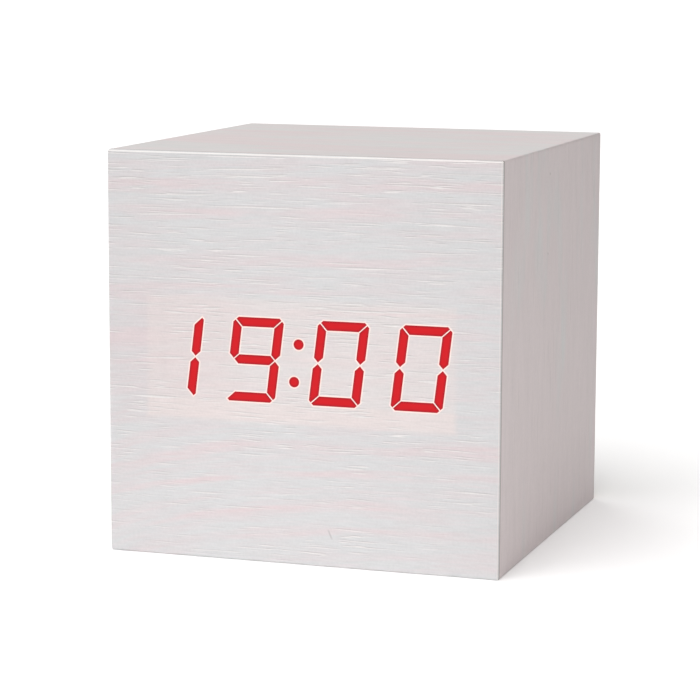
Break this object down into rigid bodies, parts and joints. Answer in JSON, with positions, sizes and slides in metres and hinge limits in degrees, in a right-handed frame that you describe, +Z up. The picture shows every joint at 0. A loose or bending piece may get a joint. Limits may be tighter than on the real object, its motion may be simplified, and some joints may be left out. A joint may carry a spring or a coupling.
{
  "type": "digital led desk clock",
  "caption": "Cube desk clock in white wood look; red lit figures show the time through the front, with buttons, power socket and battery door at the back.",
  "frame": {"origin": "centre of the base, on the surface the clock stands on", "axes": "+Z up, -Y out of the front face with the figures, +X to the right as the front is read"},
  "size_m": [0.062, 0.062, 0.062],
  "materials": {
    "wood_film": "satin",
    "front_veneer": "satin",
    "lit_red": "satin",
    "fibreboard": "matte",
    "white_plastic": "satin",
    "clear_resin": "gloss",
    "led_chip": "satin",
    "circuit_board": "satin",
    "zinc_steel": "satin",
    "black_steel": "satin",
    "tinned_metal": "satin",
    "nickel_steel": "polished",
    "cell_metal": "satin",
    "cell_sleeve": "gloss",
    "chip_black": "matte",
    "capacitor_sleeve": "gloss",
    "black_plastic": "matte",
    "button_plastic": "satin",
    "red_insulation": "satin",
    "black_insulation": "satin",
    "grey_insulation": "satin",
    "sensor_glass": "gloss"
  },
  "bodies": {
    "case": {"alarm_buzzer": "black_plastic", "battery_cells": "cell_metal", "battery_lead_black": "black_insulation", "battery_lead_red": "red_insulation", "battery_link_plates": "nickel_steel", "battery_sleeves": "cell_sleeve", "bottom_panel": "wood_film", "chip_leads": "tinned_metal", "clock_crystal": "tinned_metal", "coin_cell": "cell_metal", "coin_cell_clip": "tinned_metal", "coin_cell_holder": "black_plastic", "contact_springs": "nickel_steel", "control_board": "circuit_board", "control_board_screws": "zinc_steel", "controller_chip": "chip_black", "corner_blocks": "fibreboard", "digit_transistors": "chip_black", "display_board": "circuit_board", "display_board_screws": "zinc_steel", "display_board_spacers": "white_plastic", "display_driver_chip": "chip_black", "display_reflector": "white_plastic", "down_switch_dome": "nickel_steel", "front_board": "fibreboard", "front_veneer": "front_veneer", "led_chips": "led_chip", "left_panel": "wood_film", "lit_segments": "lit_red", "microphone": "tinned_metal", "microphone_leads": "grey_insulation", "negative_terminal": "nickel_steel", "positive_terminal": "nickel_steel", "power_socket_contact": "nickel_steel", "power_socket_housing": "black_plastic", "power_socket_pin": "nickel_steel", "rear_cover": "black_plastic", "rear_cover_screws": "black_steel", "ribbon_cable": "grey_insulation", "ribbon_connectors": "white_plastic", "right_panel": "wood_film", "segment_light_guides": "clear_resin", "segment_resistors": "chip_black", "set_switch_dome": "nickel_steel", "smoothing_capacitor": "capacitor_sleeve", "switch_covers": "tinned_metal", "switch_housings": "black_plastic", "switch_terminals": "tinned_metal", "temperature_sensor": "sensor_glass", "top_panel": "wood_film", "up_switch_dome": "nickel_steel"},
    "battery_door": {"battery_door": "black_plastic", "battery_door_latch": "black_plastic"},
    "set_button": {"set_button": "button_plastic", "set_switch_plunger": "black_plastic"},
    "up_button": {"up_button": "button_plastic", "up_switch_plunger": "black_plastic"},
    "down_button": {"down_button": "button_plastic", "down_switch_plunger": "black_plastic"}
  },
  "joints": [
    {"name": "battery_door_hinge", "type": "hinge", "parent": "case", "child": "battery_door", "pos_m": [0, 0.03, 0.0115], "axis": [-1, 0, 0], "range_deg": [0, 80], "deforming": ["battery_door_latch"]},
    {"name": "set_button_press", "type": "slide", "parent": "case", "child": "set_button", "axis": [0, -1, 0], "range_m": [0, 0.0003], "stiffness_N_per_m": 400, "deforming": ["set_switch_dome"]},
    {"name": "up_button_press", "type": "slide", "parent": "case", "child": "up_button", "axis": [0, -1, 0], "range_m": [0, 0.0003], "stiffness_N_per_m": 400, "deforming": ["up_switch_dome"]},
    {"name": "down_button_press", "type": "slide", "parent": "case", "child": "down_button", "axis": [0, -1, 0], "range_m": [0, 0.0003], "stiffness_N_per_m": 400, "deforming": ["down_switch_dome"]}
  ]
}
